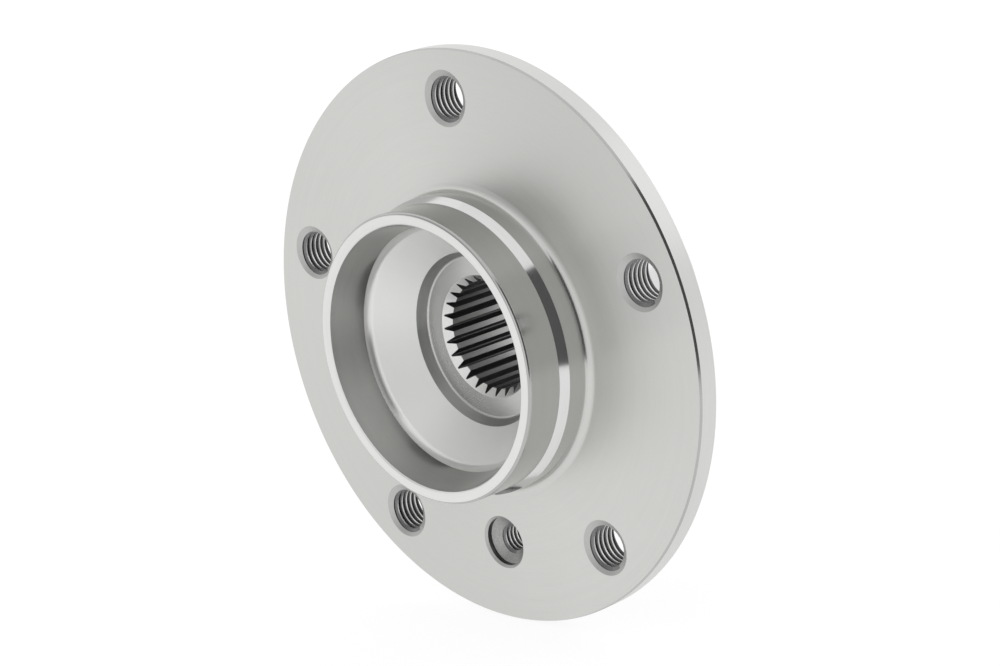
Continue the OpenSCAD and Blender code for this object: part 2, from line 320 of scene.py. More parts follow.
def hub_outline():
    """The turned section of the hub, from the bore out over the wheel side and back along the journal."""
    bore_chamfer = BORE_MOUTH_R - BORE_TIP_R
    wall_slope = math.tan(CUP_DRAFT)
    cone_slope = math.tan(CUP_CONE)
    seat_slope = math.tan(NUT_SEAT_DRAFT)
    wall_end_r = CUP_MOUTH_R - CUP_WALL_L * wall_slope
    wall_end_y = CUP_WALL_L - SPIGOT_L
    # The cone of the floor ends where it meets the sloping wall of the nut's seat
    edge_y = ((wall_end_r + wall_end_y * cone_slope - NUT_SEAT_R - NUT_SEAT_Y * seat_slope)
              / (cone_slope - seat_slope))
    disc_lead_l = (DISC_SPIGOT_R - WHEEL_SPIGOT_R) / math.tan(LEAD_ANGLE)
    flange_lead_l = FLANGE_CHAMFER / math.tan(LEAD_ANGLE)
    return rounded([
        (BORE_TIP_R, NUT_SEAT_Y + bore_chamfer, BREAK),
        (BORE_MOUTH_R, NUT_SEAT_Y, BREAK),
        (NUT_SEAT_R, NUT_SEAT_Y, NUT_SEAT_FILLET),
        (NUT_SEAT_R + (NUT_SEAT_Y - edge_y) * seat_slope, edge_y, 0.2),
        (wall_end_r, wall_end_y, CUP_FILLET),
        (CUP_MOUTH_R - CUP_LIP * wall_slope, CUP_LIP - SPIGOT_L, 0.1),
        (CUP_MOUTH_R + CUP_LIP_W, -SPIGOT_L, 0.1),
        (WHEEL_SPIGOT_R, -SPIGOT_L, SPIGOT_EDGE_R),
        (WHEEL_SPIGOT_R, -DISC_SPIGOT_L - disc_lead_l, BREAK),
        (DISC_SPIGOT_R, -DISC_SPIGOT_L, BREAK),
        (DISC_SPIGOT_R, 0, DISC_ROOT_R),
        (FLANGE_R - FLANGE_CHAMFER, 0, 0.05),
        (FLANGE_R, flange_lead_l, 0.05),
        (FLANGE_R, FLANGE_EDGE_L, 0.3),
        (FLANGE_R - FLANGE_BEVEL, FLANGE_T, 0.4),
        (RELIEF_OUT_R, FLANGE_T, 0.2),
        (RELIEF_OUT_R - RELIEF_DEPTH, FLANGE_T - RELIEF_DEPTH, 0.5),
        (RELIEF_IN_R + RELIEF_DEPTH, FLANGE_T - RELIEF_DEPTH, 0.5),
        (RELIEF_IN_R, FLANGE_T, 0.2),
        (SHOULDER_R + SHOULDER_Y - FLANGE_T, FLANGE_T, 0.3),
        (SHOULDER_R, SHOULDER_Y, 0.15),
        (JOURNAL_R, SHOULDER_Y, JOURNAL_ROOT_R),
        (JOURNAL_R, JOURNAL_END_Y - JOURNAL_CHAMFER, 0.2),
        (JOURNAL_R - JOURNAL_CHAMFER, JOURNAL_END_Y, 0.2),
        (BORE_MOUTH_R, JOURNAL_END_Y, BREAK),
        (BORE_TIP_R, JOURNAL_END_Y - bore_chamfer, BREAK)])


def spline_broach():
    """All the grooves of the bore as one cutter: a tapered bar, repeated round the axis."""
    inside_r = BORE_TIP_R - PAST
    slope = (GROOVE_MOUTH_W - GROOVE_ROOT_W) / (BORE_ROOT_R - BORE_TIP_R)
    bar_l = JOURNAL_END_Y - NUT_SEAT_Y + 2 * PAST
    bar = new_piece("spline_broach", bpy.ops.mesh.primitive_cube_add, size=MM,
                    location=((inside_r + BORE_ROOT_R) / 2 * MM, (NUT_SEAT_Y - PAST + bar_l / 2) * MM, 0),
                    scale=(BORE_ROOT_R - inside_r, bar_l, GROOVE_ROOT_W))
    rest_in_mesh(bar)
    bpy.ops.object.mode_set(mode="EDIT")
    shape = bmesh.from_edit_mesh(bar.data)
    for vertex in shape.verts:
        if vertex.co.x < (inside_r + 0.1) * MM:
            vertex.co.z *= (GROOVE_ROOT_W + slope * (BORE_ROOT_R - inside_r)) / GROOVE_ROOT_W
    for edge in shape.edges:
        edge.select_set(all(v.co.x > (BORE_ROOT_R - 0.1) * MM for v in edge.verts)
                        and abs(edge.verts[0].co.y - edge.verts[1].co.y) > MM)
    bmesh.update_edit_mesh(bar.data)
    bpy.ops.mesh.bevel(offset=GROOVE_ROOT_W / 3 * MM, segments=3)
    bpy.ops.mesh.select_all(action="SELECT")
    bpy.ops.mesh.spin(steps=SPLINE_TEETH, angle=2 * math.pi, center=(0, 0, 0), axis=(0, 1, 0), dupli=True)
    bpy.ops.mesh.select_all(action="SELECT")
    bpy.ops.mesh.remove_doubles(threshold=MERGE)
    bpy.ops.mesh.normals_make_consistent(inside=False)
    bpy.ops.object.mode_set(mode="OBJECT")
    bar.data.transform(Matrix.Rotation(-SPLINE_CLOCK, 4, "Y"))
    return bar


def drill(name, points):
    """A solid drill of (radius, place) points about its own axis."""
    return turned(name, points, HOLE_STEPS)


def make_hub():
    """The forging, which is turned, broached, drilled and tapped."""
    hub = turned("hub_forging", hub_outline())
    cut(hub, spline_broach())
    sink_l = (BOLT_SINK_R - BOLT_CREST_R) / math.tan(BOLT_SINK_ANGLE)
    tap_drill = drill("tap_drill", [
        (0, -PAST),
        (BOLT_SINK_R + PAST * math.tan(BOLT_SINK_ANGLE), -PAST),
        (BOLT_CREST_R, sink_l),
        (BOLT_CREST_R, FLANGE_T + PAST),
        (0, FLANGE_T + PAST)])
    cut(hub, join(copies_on_circle(tap_drill, BOLT_ANGLES, BOLT_CIRCLE_R), "tap_drills"))
    tap = coil("tap", BOLT_CREST_R, BOLT_R, BOLT_PITCH, BOLT_TURNS, BOLT_THREAD_Y)
    cut(hub, join(copies_on_circle(tap, BOLT_ANGLES, BOLT_CIRCLE_R), "taps"))
    floor_l = (SCREW_HEAD_R - SCREW_CREST_R) / math.tan(SCREW_DRILL_ANGLE)
    screw_drill = drill("screw_drill", [
        (0, -PAST),
        (SCREW_HEAD_R + SCREW_CHAMFER + PAST, -PAST),
        (SCREW_HEAD_R, SCREW_CHAMFER),
        (SCREW_HEAD_R, SCREW_HEAD_L),
        (SCREW_CREST_R, SCREW_HEAD_L + floor_l),
        (SCREW_CREST_R, FLANGE_T + PAST),
        (0, FLANGE_T + PAST)])
    cut(hub, copies_on_circle(screw_drill, [SCREW_ANGLE], SCREW_CIRCLE_R)[0])
    screw_tap = coil("screw_tap", SCREW_CREST_R, SCREW_R, SCREW_PITCH, SCREW_TURNS, SCREW_THREAD_Y)
    cut(hub, copies_on_circle(screw_tap, [SCREW_ANGLE], SCREW_CIRCLE_R)[0])
    smooth(hub)
    return hub


def track(first_r, last_r):
    """Points along the ball track of the row on the wheel side, from one radius round to another."""
    first = math.asin((first_r - PITCH_R) / TRACK_R)
    last = math.asin((last_r - PITCH_R) / TRACK_R)
    # The first point lies past the track's deepest place, on the side towards the wheel
    start = 2 * math.copysign(math.pi / 2, first) - first
    angles = [start + (last - start) * k / TRACK_STEPS for k in range(TRACK_STEPS + 1)]
    return [Vector((PITCH_R + TRACK_R * math.sin(a), TRACK_R * math.cos(a) - ROW_Y)) for a in angles]


def make_outer_ring():
    """The ring that is pressed into the knuckle, with a track for each row of balls in its bore."""
    outside = rounded([
        (OUTER_BORE_R, OUTER_FACE, 0.3),
        (BEARING_R - OUTER_CHAMFER, OUTER_FACE, 0.25),
        (BEARING_R, OUTER_FACE - OUTER_CHAMFER, 0.5),
        (BEARING_R, OUTER_CHAMFER - OUTER_FACE, 0.5),
        (BEARING_R - OUTER_CHAMFER, -OUTER_FACE, 0.25),
        (OUTER_BORE_R, -OUTER_FACE, 0.3)])
    near = track(OUTER_BORE_R, OUTER_RIB_R)
    far = [Vector((r, -y)) for r, y in reversed(near)]
    ring = turned("outer_ring", outside + near + far, mid_y=BEARING_MID_Y)
    smooth(ring)
    return ring


def make_inner_ring(name, flip):
    """One half of the split inner ring, pressed on the journal."""
    face = -INNER_FACE
    corners = rounded([
        (JOURNAL_R, face + INNER_BORE_CHAMFER, 0.8),
        (JOURNAL_R + INNER_BORE_CHAMFER, face, 0.8),
        (INNER_SHOULDER_R - INNER_EDGE_CHAMFER, face, 0.15),
        (INNER_SHOULDER_R, face + INNER_EDGE_CHAMFER, 0.15),
        (INNER_SHOULDER_R, -ROW_Y, 0),
        (INNER_LAND_R, -ROW_Y, 0),
        (INNER_LAND_R, 0, 0.2),
        (JOURNAL_R, 0, 0.2)])
    before = [p for p in corners if p.y < -ROW_Y - 0.01]
    after = [p for p in corners if p.y > -ROW_Y + 0.01]
    ring = turned(name, before + track(INNER_SHOULDER_R, INNER_LAND_R) + after,
                  mid_y=BEARING_MID_Y, flip=flip)
    smooth(ring)
    return ring


def make_slinger(name, flip):
    """The bent sheet ring on the inner ring's shoulder."""
    near = -SEAL_NEAR
    end = near + SEAL_L - SHEET_T - SEAL_GAP
    rim_r = OUTER_BORE_R - SHEET_T - SEAL_GAP
    ring = turned(name, rounded([
        (INNER_SHOULDER_R, near, 0.9),
        (rim_r, near, 0.2),
        (rim_r, near + SHEET_T, 0.2),
        (INNER_SHOULDER_R + SHEET_T, near + SHEET_T, 0.2),
        (INNER_SHOULDER_R + SHEET_T, end, 0.15),
        (INNER_SHOULDER_R, end, 0.15)]), mid_y=BEARING_MID_Y, flip=flip)
    smooth(ring)
    return ring


def make_seal_case(name, flip):
    """The bent sheet ring that is pressed into the outer ring."""
    near = -SEAL_NEAR
    far = near + SEAL_L
    edge_r = INNER_SHOULDER_R + 2 * SHEET_T + SEAL_GAP
    ring = turned(name, rounded([
        (OUTER_BORE_R - SHEET_T, near, 0.2),
        (OUTER_BORE_R, near, 0.2),
        (OUTER_BORE_R, far, 0.9),
        (edge_r, far, 0.2),
        (edge_r, far - SHEET_T, 0.2),
        (OUTER_BORE_R - SHEET_T, far - SHEET_T, 0.2)]), mid_y=BEARING_MID_Y, flip=flip)
    smooth(ring)
    return ring


def make_seal_lip(name, flip):
    """The rubber on the edge of the case, with one lip on the slinger's sleeve and one at its flange."""
    near = -SEAL_NEAR
    back = near + SEAL_L - SHEET_T
    flange_side = near + SHEET_T + LIP_GAP
    sleeve_side = INNER_SHOULDER_R + SHEET_T + LIP_GAP
    edge_r = INNER_SHOULDER_R + 2 * SHEET_T + SEAL_GAP
    ring = turned(name, rounded([
        (edge_r, back + SHEET_T, 0.1),
        (sleeve_side + LIP_GAP, back + SHEET_T, 0.1),
        (sleeve_side, back + SEAL_GAP - SHEET_T, 0.1),
        (sleeve_side + SEAL_GAP, back - SHEET_T, 0.08),
        (edge_r + SHEET_T, back - SEAL_GAP, 0.2),
        (edge_r + 3 * SHEET_T, flange_side, 0.08),
        (edge_r + 4 * SHEET_T, flange_side, 0.08),
        (edge_r + 3 * SHEET_T, back, 0.1),
        (edge_r, back, 0)]), mid_y=BEARING_MID_Y, flip=flip)
    smooth(ring)
    return ring


# Sockets of a Mix node that mixes colours
MIX_FIRST = 6
MIX_SECOND = 7
MIX_RESULT = 2


def node(tree, kind, **settings):
    """Adds a node and sets its properties, and its inputs by name or number."""
    made = tree.nodes.new(kind)
    inputs = settings.pop("inputs", {})
    for key, value in settings.items():
        setattr(made, key, value)
    for key, value in inputs.items():
        made.inputs[key].default_value = value
    return made


def maths(tree, operation, first, second=0.5):
    """A Math node of one or two values, each a socket or a plain number."""
    made = node(tree, "ShaderNodeMath", operation=operation)
    for socket, value in zip(made.inputs, (first, second)):
        if isinstance(value, (int, float)):
            socket.default_value = value
        else:
            tree.links.new(value, socket)
    return made.outputs[0]


def ramp(tree, source, low, high, first, last):
    """Maps a value from the span low to high onto first to last, held at both ends."""
    made = node(tree, "ShaderNodeMapRange", clamp=True)
    for socket, value in zip(made.inputs[1:5], (low, high, first, last)):
        socket.default_value = value
    tree.links.new(source, made.inputs[0])
    return made.outputs[0]


def group(name, inputs, outputs):
    """An empty shader node group with float inputs and outputs."""
    tree = bpy.data.node_groups.new(name, "ShaderNodeTree")
    for label, value in inputs:
        socket = tree.interface.new_socket(label, in_out="INPUT", socket_type="NodeSocketFloat")
        socket.default_value = value
    for label in outputs:
        tree.interface.new_socket(label, in_out="OUTPUT", socket_type="NodeSocketFloat")
    return tree, tree.nodes.new("NodeGroupInput"), tree.nodes.new("NodeGroupOutput")


# How fast the fine rings change along one turn, the broad rings per millimetre, and the specks per metre
RING_DRIFT = 3.0
BROAD_RINGS = 0.35
SPECKS = 2500.0


def make_turning_marks():
    """Lathe marks: rings whose spacing follows the radius and the place along the axis."""
    tree, given, out = group("turning_marks", [("Rings per mm", 3)], ["Fine", "Broad"])
    place = node(tree, "ShaderNodeTexCoord")
    parts = node(tree, "ShaderNodeSeparateXYZ")
    tree.links.new(place.outputs["Object"], parts.inputs[0])
    x, y, z = parts.outputs
    square_x = maths(tree, "MULTIPLY", x, x)
    square_z = maths(tree, "MULTIPLY", z, z)
    radius = maths(tree, "SQRT", maths(tree, "ADD", square_x, square_z))
    along = maths(tree, "MULTIPLY", maths(tree, "ADD", radius, y), 1 / MM)
    rings = maths(tree, "MULTIPLY", along, given.outputs["Rings per mm"])
    where = node(tree, "ShaderNodeCombineXYZ")
    tree.links.new(rings, where.inputs[0])
    tree.links.new(maths(tree, "MULTIPLY", maths(tree, "DIVIDE", x, radius), RING_DRIFT), where.inputs[1])
    tree.links.new(maths(tree, "MULTIPLY", maths(tree, "DIVIDE", z, radius), RING_DRIFT), where.inputs[2])
    fine = node(tree, "ShaderNodeTexNoise", inputs={"Scale": 1.0, "Detail": 3.0, "Roughness": 0.6})
    tree.links.new(where.outputs[0], fine.inputs["Vector"])
    tree.links.new(fine.outputs[0], out.inputs["Fine"])
    broad_where = node(tree, "ShaderNodeCombineXYZ")
    tree.links.new(maths(tree, "MULTIPLY", along, BROAD_RINGS), broad_where.inputs[0])
    broad = node(tree, "ShaderNodeTexNoise", inputs={"Scale": 1.0, "Detail": 2.0})
    tree.links.new(broad_where.outputs[0], broad.inputs["Vector"])
    tree.links.new(broad.outputs[0], out.inputs["Broad"])
    return tree


def make_stain():
    """Soft patches such as oil and handling leave, and fine specks."""
    tree, given, out = group("stain", [("Patches per metre", 40)], ["Patch", "Speck"])
    place = node(tree, "ShaderNodeTexCoord")
    patch = node(tree, "ShaderNodeTexNoise", inputs={"Detail": 3.0, "Roughness": 0.55, "Distortion": 0.4})
    tree.links.new(place.outputs["Object"], patch.inputs["Vector"])
    tree.links.new(given.outputs[0], patch.inputs["Scale"])
    tree.links.new(patch.outputs[0], out.inputs["Patch"])
    speck = node(tree, "ShaderNodeTexNoise", inputs={"Scale": SPECKS, "Detail": 1.0})
    tree.links.new(place.outputs["Object"], speck.inputs["Vector"])
    tree.links.new(speck.outputs[0], out.inputs["Speck"])
    return tree


TURNING_MARKS = make_turning_marks()
STAIN = make_stain()

# How high the marks and the grain of a surface stand
GRAIN_HEIGHT = 0.02 * MM


def surface(name, metallic, patches):
    """A material with its shader and its stains, ready to be joined up."""
    material = bpy.data.materials.new(name)
    material.use_nodes = True
    tree = material.node_tree
    shader = tree.nodes["Principled BSDF"]
    shader.inputs["Metallic"].default_value = metallic
    stain = node(tree, "ShaderNodeGroup", node_tree=STAIN)
    stain.inputs["Patches per metre"].default_value = patches
    return material, tree, shader, stain


def finish(tree, shader, tone, dark, light, rough, height, bump):
    """Joins a tone to the colour and gloss of a shader, and a height to its relief."""
    colour = node(tree, "ShaderNodeMix", data_type="RGBA",
                  inputs={MIX_FIRST: (*dark, 1), MIX_SECOND: (*light, 1)})
    tree.links.new(ramp(tree, tone, 0.35, 0.65, 0, 1), colour.inputs[0])
    tree.links.new(colour.outputs[MIX_RESULT], shader.inputs["Base Color"])
    tree.links.new(ramp(tree, tone, 0.3, 0.7, rough * 0.88, rough * 1.12), shader.inputs["Roughness"])
    relief = node(tree, "ShaderNodeBump", inputs={"Strength": bump, "Distance": GRAIN_HEIGHT})
    tree.links.new(height, relief.inputs["Height"])
    tree.links.new(relief.outputs[0], shader.inputs["Normal"])


def mixed(tree, *parts):
    """The sum of values, each times its own share."""
    total = None
    for value, share in parts:
        term = maths(tree, "MULTIPLY", value, share)
        total = term if total is None else maths(tree, "ADD", total, term)
    return total


def turned_steel(name, dark, light, rough, anisotropy, rings, bump=0.05):
    """Bare turned or ground steel: colour, gloss and relief follow the lathe marks and the stains."""
    material, tree, shader, stain = surface(name, 1.0, patches=40)
    marks = node(tree, "ShaderNodeGroup", node_tree=TURNING_MARKS)
    marks.inputs["Rings per mm"].default_value = rings
    shader.inputs["Anisotropic"].default_value = anisotropy
    # In turns, from the direction of the tangent
    shader.inputs["Anisotropic Rotation"].default_value = 0.25
    tangent = node(tree, "ShaderNodeTangent", direction_type="RADIAL", axis="Y")
    tree.links.new(tangent.outputs[0], shader.inputs["Tangent"])
    tone = mixed(tree, (marks.outputs["Fine"], 0.35), (marks.outputs["Broad"], 0.3),
                 (stain.outputs["Patch"], 0.35))
    finish(tree, shader, tone, dark, light, rough, marks.outputs["Fine"], bump)
    return material


def plain_steel(name, dark, light, rough, bump=0.04):
    """Steel with no lathe marks: pressed, broached, drilled or tapped."""
    material, tree, shader, stain = surface(name, 1.0, patches=60)
    tone = mixed(tree, (stain.outputs["Patch"], 0.6), (stain.outputs["Speck"], 0.4))
    finish(tree, shader, tone, dark, light, rough, stain.outputs["Speck"], bump)
    return material


def moulded(name, dark, light, rough, bump):
    """Moulded plastic or rubber, with the fine grain that the tool leaves."""
    material, tree, shader, stain = surface(name, 0.0, patches=90)
    tone = mixed(tree, (stain.outputs["Patch"], 0.5), (stain.outputs["Speck"], 0.5))
    finish(tree, shader, tone, dark, light, rough, stain.outputs["Speck"], bump)
    return material


def grey(value, warm=0.0):
    """A grey that is warmer where its blue is less, or cooler where it is more."""
    return (value, value, value - warm)


# Finishes: name, darkest and lightest tone, roughness, then for turned steel its anisotropy, its rings per
# millimetre and the strength of its relief
FACE = turned_steel("turned_face", grey(0.62, 0.018), grey(0.66, 0.018), 0.31, 0.85, 2.6, 0.035)
MOUTH = turned_steel("finish_turned_mouth", grey(0.72, 0.012), grey(0.79, 0.012), 0.30, 0.3, 3.0)
RIM = turned_steel("turned_flange_rim", grey(0.64, 0.012), grey(0.70, 0.012), 0.34, 0.3, 3.0)
LEAD_IN = turned_steel("bright_lead_in", grey(0.65, 0.005), grey(0.72, 0.005), 0.12, 0.2, 4.0, 0.02)
# Chamfers and edge roundings are a darker grey than the faces beside them: painted shade
SHADED_EDGE = turned_steel("painted_shade_edge", grey(0.43, 0.008), grey(0.51, 0.008), 0.18, 0.2, 4.0)
SPIGOT = turned_steel("ground_spigot", grey(0.54, 0.014), grey(0.60, 0.014), 0.19, 0.3, 5.0, 0.03)
# Inside the cup one turned steel comes as lit and shaded copies: the wall and the seat's wall are darker,
# painted shade, the bend is lighter, a painted highlight, and the floor lighter still, painted light
SHADED_CUP_WALL = turned_steel("turned_cup_wall_painted_shade", grey(0.36, 0.008), grey(0.42, 0.008), 0.13, 0.3, 2.2, 0.03)
LIT_CUP_BEND = turned_steel("turned_cup_bend_painted_highlight", grey(0.74, 0.01), grey(0.80, 0.01), 0.31, 0.3, 2.2, 0.03)
LIT_CUP_FLOOR = turned_steel("turned_cup_floor_painted_light", grey(0.83, 0.014), grey(0.88, 0.014), 0.52, 0.4, 2.2)
SHADED_SEAT_WALL = turned_steel("seat_wall_painted_shade", grey(0.31, 0.006), grey(0.39, 0.006), 0.30, 0.4, 3.0)
NUT_SEAT = turned_steel("turned_nut_seat", grey(0.50, 0.01), grey(0.56, 0.01), 0.26, 0.8, 3.0)
JOURNAL = turned_steel("ground_journal", grey(0.62, 0.008), grey(0.69, 0.008), 0.17, 0.3, 6.0, 0.03)
SINK = turned_steel("countersink", grey(0.49, 0.012), grey(0.57, 0.012), 0.50, 0.0, 4.0, 0.25)
DRILLED = plain_steel("drilled_floor", grey(0.32, 0.008), grey(0.54, 0.008), 0.5, 0.4)
# The counterbore's wall is near black: painted shade
SHADED_SINK_WALL = plain_steel("counterbore_wall_painted_shade", grey(0.14), grey(0.22), 0.35)
TOOTH_END = plain_steel("spline_tooth_end", grey(0.70, 0.01), grey(0.80, 0.01), 0.32)
LAND = plain_steel("spline_land", grey(0.46, 0.006), grey(0.54, 0.006), 0.30)
# The spline's grooves are near black: painted shade
SHADED_GROOVE = plain_steel("spline_groove_painted_shade", grey(0.13), grey(0.20), 0.34)
CREST = plain_steel("thread_crest", grey(0.60, 0.01), grey(0.68, 0.01), 0.28)
# The thread's flanks are near black: painted shade
SHADED_FLANK = plain_steel("thread_flank_painted_shade", grey(0.16), grey(0.24), 0.30)
RING_STEEL = turned_steel("ground_bearing_ring", grey(0.68, -0.006), grey(0.75, -0.006), 0.15, 0.3, 7.0, 0.02)
BALL_STEEL = plain_steel("polished_ball", grey(0.74, -0.008), grey(0.78, -0.008), 0.07, 0.0)
SHEET_STEEL = plain_steel("pressed_seal_sheet", grey(0.50, -0.006), grey(0.58, -0.006), 0.33)
CAGE_PLASTIC = moulded("moulded_cage", (0.045, 0.05, 0.042), (0.06, 0.066, 0.055), 0.42, 0.2)
RUBBER = moulded("moulded_seal_rubber", (0.018, 0.018, 0.019), (0.028, 0.028, 0.03), 0.55, 0.15)
HUB_FINISHES = [FACE, MOUTH, RIM, LEAD_IN, SHADED_EDGE, SPIGOT, SHADED_CUP_WALL, LIT_CUP_BEND, LIT_CUP_FLOOR, SHADED_SEAT_WALL,
                NUT_SEAT, JOURNAL, SINK, DRILLED, SHADED_SINK_WALL, TOOTH_END, LAND, SHADED_GROOVE, CREST, SHADED_FLANK]


# How close a face's middle is to the surface that it belongs to, in millimetres, and how close its slope is to
# that of the surface
NEAR = 0.02
NEAR_CONE = 0.03
NEAR_FLANGE = 0.005
NEAR_SLOPE = 0.02

# Where the cup's floor turns into the wall of the nut's seat, how much of the seat's fillet has the finish of
# the seat, and down to which slope the root of the collar has the collar's finish
CUP_FLOOR_END_Y = 0.4
SEAT_FILLET_L = 0.4
COLLAR_ROOT_SLOPE = 0.62


def off_hole(x, z, circle_r, angle):
    """How far a place on the flange lies from the axis of a hole."""
    return math.hypot(x - circle_r * math.cos(angle), z - circle_r * math.sin(angle))


def bolt_hole_finish(y, off):
    """The countersink of a bolt hole, and the crests of its thread and its flanks, which have painted shade.
    """
    sink_y = (BOLT_SINK_R - off) / math.tan(BOLT_SINK_ANGLE)
    if abs(y - sink_y) < NEAR_CONE:
        return SINK
    return CREST if off < BOLT_CREST_R + NEAR else SHADED_FLANK


def screw_hole_finish(y, off):
    """The chamfer, the wall with painted shade and the drilled floor of the screw hole's counterbore, and its
    thread, whose flanks have painted shade.
    """
    floor_y = SCREW_HEAD_L + (SCREW_HEAD_R - off) / math.tan(SCREW_DRILL_ANGLE)
    if abs(off - SCREW_HEAD_R) < NEAR:
        return SHADED_SINK_WALL
    if off > SCREW_HEAD_R:
        return SINK
    if abs(y - floor_y) < NEAR_CONE:
        return DRILLED
    return CREST if off < SCREW_CREST_R + NEAR else SHADED_FLANK


def cup_finish(y, facing):
    """The cup's wall with painted shade, its bend with a painted highlight and its floor with painted light,
    and the nut seat's wall with painted shade and its flat.
    """
    if y < CUP_WALL_L - SPIGOT_L and facing > -math.sin(CUP_DRAFT) - NEAR_SLOPE:
        return SHADED_CUP_WALL
    if y < CUP_FLOOR_END_Y:
        return LIT_CUP_BEND if facing > -math.sin(CUP_CONE) + NEAR_SLOPE else LIT_CUP_FLOOR
    return SHADED_SEAT_WALL if y < NUT_SEAT_Y - SEAT_FILLET_L else NUT_SEAT


def hub_finish(face):
    """Which finish a face of the hub has, by its place in millimetres and the way it faces."""
    x, y, z = face.center / MM
    r = math.hypot(x, z)
    facing = face.normal.y
    # Chamfers, cones and fillets face neither straight out from the axis nor along it
    slanted = 0.05 < abs(facing) < 0.97
    off_bolt = min(off_hole(x, z, BOLT_CIRCLE_R, angle) for angle in BOLT_ANGLES)
    off_screw = off_hole(x, z, SCREW_CIRCLE_R, SCREW_ANGLE)
    in_flange = NEAR_FLANGE < y < FLANGE_T - NEAR_FLANGE
    if in_flange and off_bolt < BOLT_SINK_R:
        return bolt_hole_finish(y, off_bolt)
    if in_flange and off_screw < SCREW_HEAD_R + SCREW_CHAMFER:
        return screw_hole_finish(y, off_screw)
    if r < BORE_MOUTH_R + 0.1 and y > NUT_SEAT_Y + NEAR:
        if abs(facing) > 0.3:
            return TOOTH_END
        # Between the lands, the grooves take painted shade
        return LAND if r < BORE_TIP_R + NEAR else SHADED_GROOVE
    # Slanted edges at the collar's mouth and at the flange's chamfer take the edge finish, whose darker grey
    # is painted shade
    if r > CUP_MOUTH_R - 0.2 and y < SPIGOT_EDGE_R - SPIGOT_L:
        return SHADED_EDGE if slanted and r > CUP_MOUTH_R + 1 else MOUTH
    if r > FLANGE_R - FLANGE_CHAMFER and y < 2 * FLANGE_CHAMFER:
        return SHADED_EDGE if slanted else (FACE if facing < -0.5 else RIM)
    if CUP_MOUTH_R < r < DISC_SPIGOT_R and y < -DISC_SPIGOT_L and slanted:
        return LEAD_IN
    if r > FLANGE_R - 0.1 or (r > FLANGE_R - FLANGE_BEVEL and y > FLANGE_EDGE_L):
        return RIM
    if r < CUP_MOUTH_R and y < NUT_SEAT_Y + NEAR:
        return cup_finish(y, facing)
    if r < DISC_SPIGOT_R + DISC_ROOT_R and y < 0 and facing > -COLLAR_ROOT_SLOPE:
        return SPIGOT
    return JOURNAL if y > FLANGE_T + 0.5 else FACE


def dress(piece, name, body, material):
    """Gives a modelled piece its finish and its body, in place of the node that it stands for, which it hides.
    """
    if material:
        piece.data.materials.append(material)
    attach(piece, body)
    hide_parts(name)


def dress_node(name, material):
    """Gives a node its finish and its smooth shading; a modifier welds its loose triangles."""
    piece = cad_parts[name]
    piece.data.materials.clear()
    piece.data.materials.append(material)
    piece.data.shade_smooth()
    weld = piece.modifiers.new("weld", "WELD")
    weld.merge_threshold = 0.001 * MM
    edges = piece.modifiers.new("keep edges", "EDGE_SPLIT")
    edges.split_angle = math.radians(35)


hub = make_hub()
hub.data.materials.clear()
for material in HUB_FINISHES:
    hub.data.materials.append(material)
for face in hub.data.polygons:
    face.material_index = HUB_FINISHES.index(hub_finish(face))
dress(hub, "hub", "hub", None)
dress(make_outer_ring(), "bearing_outer_ring", "bearing_outer", RING_STEEL)
for side, flip in (("outboard", 1), ("inboard", -1)):
    dress(make_inner_ring("inner_race_" + side, flip), "inner_ring_" + side, "hub",
          RING_STEEL)
    dress(make_slinger("seal_slinger_" + side, flip), "slinger_" + side, "hub", SHEET_STEEL)
    dress(make_seal_case("seal_shell_" + side, flip), "seal_case_" + side, "bearing_outer",
          SHEET_STEEL)
    dress(make_seal_lip("rubber_lip_" + side, flip), "seal_lip_" + side, "bearing_outer",
          RUBBER)
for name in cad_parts:
    if name.startswith("ball_cage"):
        dress_node(name, CAGE_PLASTIC)
    elif name.startswith("ball_"):
        dress_node(name, BALL_STEEL)

# Camera, from the fit of the bolt circle, the flange and the spigots in the photograph
AZIMUTH = math.radians(47.077)
ELEVATION = math.radians(13.477)
ROLL = math.radians(-7.469)
DISTANCE = 0.67237
SHIFT_RIGHT = 0.005616
SHIFT_UP = 0.001773
FOCAL_PX = 2752.34
IMAGE_W = 1000
SENSOR_W = 36


def make_camera():
    """The camera of the photograph, tilted, rolled and shifted as the fit says."""
    level = Vector((math.cos(AZIMUTH), math.sin(AZIMUTH), 0))
    back = Vector((math.sin(AZIMUTH) * math.cos(ELEVATION), -math.cos(AZIMUTH) * math.cos(ELEVATION),
                   math.sin(ELEVATION)))
    upright = back.cross(level)
    right = math.cos(ROLL) * level + math.sin(ROLL) * upright
    up = math.cos(ROLL) * upright - math.sin(ROLL) * level
    lens = bpy.data.cameras.new("camera")
    lens.sensor_width = SENSOR_W
    lens.lens = FOCAL_PX / IMAGE_W * SENSOR_W
    camera = bpy.data.objects.new("camera", lens)
    bpy.context.scene.collection.objects.link(camera)
    place = back * DISTANCE + right * SHIFT_RIGHT + up * SHIFT_UP
    turn = Matrix((right, up, back)).transposed()
    camera.matrix_world = Matrix.Translation(place) @ turn.to_4x4()
    bpy.context.scene.camera = camera


make_camera()

# What shows in the steel, as directions from the hub: a dark screen to the right of the camera, with
# crisp edges, and a dimmer part of the room up to its left, with none
SCREEN_AZIMUTH = math.radians(85)
SCREEN_HALF_WIDTH = math.sin(math.radians(27))
SCREEN_FOOT = math.sin(math.radians(-17))
SCREEN_TOP = math.sin(math.radians(49))
SCREEN_EDGE = 0.012
SCREEN_TONE = 0.1
ROOM_AZIMUTH = math.radians(-25)
ROOM_ELEVATION = math.radians(26)
ROOM_REACH = math.cos(math.radians(38))
ROOM_TONE = 0.5
WORLD_LEVEL = 0.92


